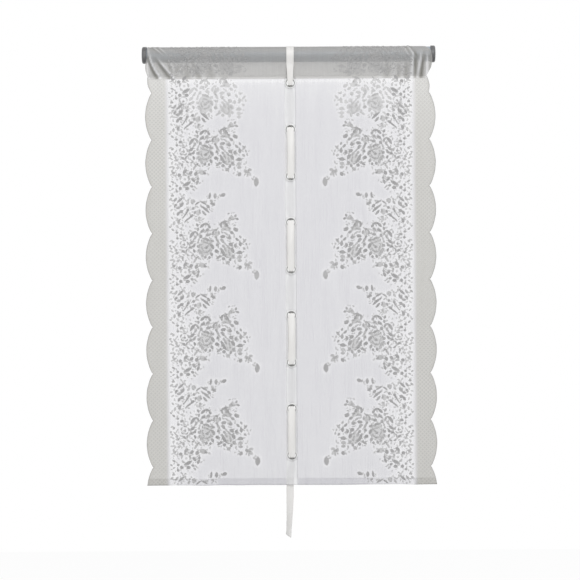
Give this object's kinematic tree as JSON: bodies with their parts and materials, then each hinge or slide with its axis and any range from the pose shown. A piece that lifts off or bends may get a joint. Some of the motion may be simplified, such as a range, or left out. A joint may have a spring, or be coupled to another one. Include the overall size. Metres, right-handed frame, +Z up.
{
  "type": "lace lift-up curtain",
  "caption": "Sheer lace curtain on a round pole, with scalloped sides, woven rose sprays and a ribbon threaded through centre eyelets to draw it up.",
  "frame": {"origin": "on the pole's axis, where the curtain's centre line crosses it", "axes": "+X along the pole, to the right as seen from the room; -Y towards the room; +Z up, against the hang of the cloth"},
  "size_m": [0.6296, 0.0408, 1.0605],
  "materials": {
    "pole_metal": "brushed grey steel tube",
    "cap_plastic": "dark grey matt plastic",
    "lace_cloth": "off-white sheer lace, open net ground with denser woven figures",
    "tape_cloth": "off-white sheer facing strip",
    "ribbon_satin": "off-white satin ribbon",
    "eyelet_plastic": "white plastic with a soft shine"
  },
  "bodies": {
    "root": {"curtain_pole": "pole_metal", "left_end_cap": "cap_plastic", "right_end_cap": "cap_plastic", "lace_panel": "lace_cloth", "centre_tape": "tape_cloth", "eyelet_front_1": "eyelet_plastic", "eyelet_front_2": "eyelet_plastic", "eyelet_front_3": "eyelet_plastic", "eyelet_front_4": "eyelet_plastic", "eyelet_front_5": "eyelet_plastic", "eyelet_front_6": "eyelet_plastic", "eyelet_front_7": "eyelet_plastic", "eyelet_front_8": "eyelet_plastic", "eyelet_front_9": "eyelet_plastic", "eyelet_back_1": "eyelet_plastic", "eyelet_back_2": "eyelet_plastic", "eyelet_back_3": "eyelet_plastic", "eyelet_back_4": "eyelet_plastic", "eyelet_back_5": "eyelet_plastic", "eyelet_back_6": "eyelet_plastic", "eyelet_back_7": "eyelet_plastic", "eyelet_back_8": "eyelet_plastic", "eyelet_back_9": "eyelet_plastic", "lift_ribbon": "ribbon_satin"}
  },
  "joints": []
}
